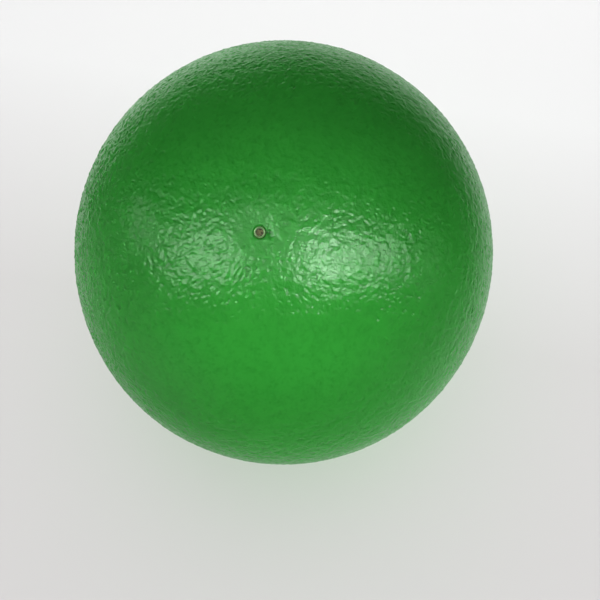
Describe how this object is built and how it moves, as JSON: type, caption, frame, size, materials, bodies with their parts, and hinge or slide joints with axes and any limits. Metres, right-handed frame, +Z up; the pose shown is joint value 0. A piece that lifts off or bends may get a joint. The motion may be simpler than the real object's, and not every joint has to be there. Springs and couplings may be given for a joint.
{
  "type": "playground ball",
  "caption": "Soft round playground ball: glossy crinkled green elastomer skin over a foam core, with a small metal breather eyelet through the skin.",
  "frame": {"origin": "middle of the small flat that the ball rests on, on the floor directly under the ball's centre", "axes": "+Z up, away from the floor; the vent's axis lies in the YZ plane and points up and towards -Y, 60 degrees above the horizontal; +X to the right as seen from the vent's side"},
  "size_m": [0.216, 0.216, 0.2153],
  "materials": {
    "green_skin": "gloss",
    "sealing_coat": "satin",
    "tan_foam": "matte",
    "nickel": "satin",
    "amber_glue": "satin"
  },
  "bodies": {
    "root": {"skin": "green_skin", "seal_coat": "sealing_coat", "foam_core": "tan_foam", "vent_eyelet": "nickel", "eyelet_glue": "amber_glue"}
  },
  "joints": []
}
